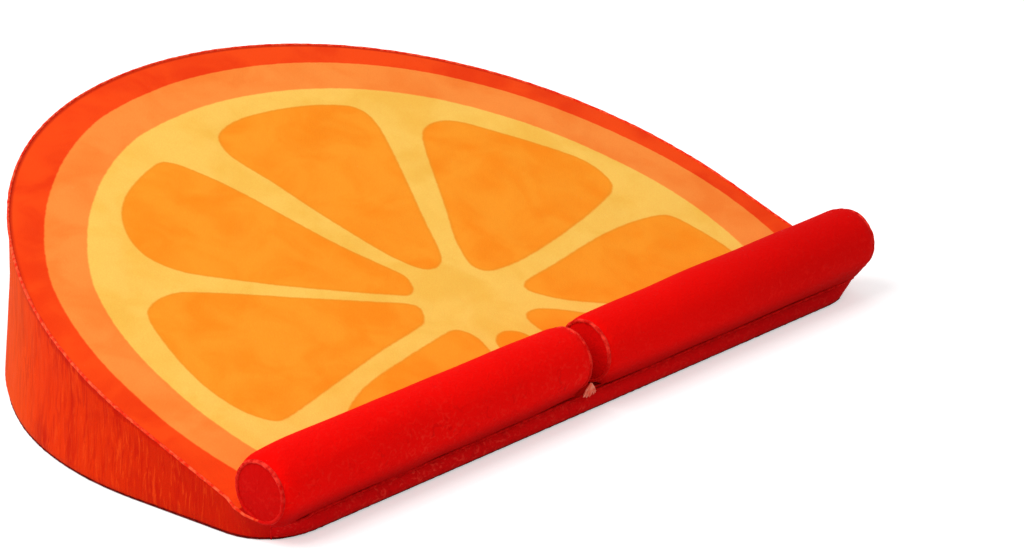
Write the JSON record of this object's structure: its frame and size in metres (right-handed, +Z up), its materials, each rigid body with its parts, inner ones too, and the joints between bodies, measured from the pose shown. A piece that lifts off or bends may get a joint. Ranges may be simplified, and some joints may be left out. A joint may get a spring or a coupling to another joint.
{
  "type": "lap desk",
  "caption": "Half-round citrus-slice lap desk: a sloping foam wedge in a plush cover, with a stuffed roll along its low front edge, split by a gap for a charging cable.",
  "frame": {"origin": "middle of the footprint, on the surface it stands on", "axes": "+X along the front roll to the right, +Y from the low front to the high back, +Z up"},
  "size_m": [0.3794, 0.2802, 0.098],
  "materials": {
    "printed_plush": "short-pile plush printed with a citrus slice",
    "side_velour": "crushed velour, orange red",
    "roll_velour": "velour, red",
    "front_velour": "velour, dark red",
    "base_fabric": "plain woven fabric, red",
    "seam_thread": "sewn seam with crushed pile, light red",
    "wedge_foam": "open-cell polyurethane foam",
    "fibre_filling": "polyester fibre"
  },
  "bodies": {
    "root": {"foam_wedge": "wedge_foam", "top_panel": "printed_plush", "side_band": "side_velour", "front_band": "front_velour", "base_panel": "base_fabric", "top_edge_seam": "seam_thread", "base_edge_seam": "side_velour", "left_roll_cover": "roll_velour", "left_roll_filling": "fibre_filling", "left_roll_outer_disc": "roll_velour", "left_roll_inner_disc": "roll_velour", "left_roll_outer_seam": "seam_thread", "left_roll_inner_seam": "seam_thread", "left_roll_stitching": "seam_thread", "right_roll_cover": "roll_velour", "right_roll_filling": "fibre_filling", "right_roll_outer_disc": "roll_velour", "right_roll_inner_disc": "roll_velour", "right_roll_outer_seam": "seam_thread", "right_roll_inner_seam": "seam_thread", "right_roll_stitching": "seam_thread"}
  },
  "joints": []
}
